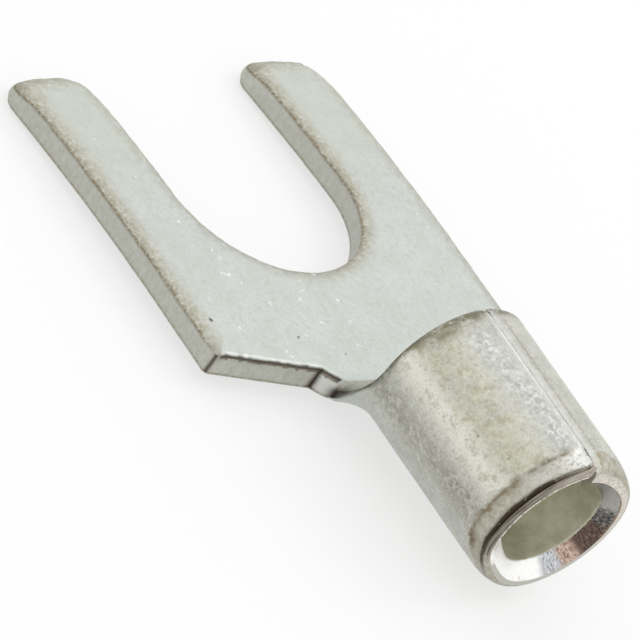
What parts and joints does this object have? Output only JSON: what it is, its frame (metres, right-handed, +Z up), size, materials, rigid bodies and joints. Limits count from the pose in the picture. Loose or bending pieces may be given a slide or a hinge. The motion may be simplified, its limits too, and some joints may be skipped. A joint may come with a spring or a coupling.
{
  "type": "fork terminal",
  "caption": "Bare fork terminal: a flat open-ended fork slips under a screw head, and the rolled barrel behind it is crimped onto a stranded wire.",
  "frame": {"origin": "centre of the slot's round bottom, on the underside of the flat pad", "axes": "+X from the prong tips to the barrel's mouth, +Y across the fork, +Z up out of the tongue, towards the barrel's seam"},
  "size_m": [0.0199, 0.012, 0.0055],
  "materials": {
    "tin_plate": "satin"
  },
  "bodies": {
    "root": {"fork_terminal": "tin_plate"}
  },
  "joints": []
}
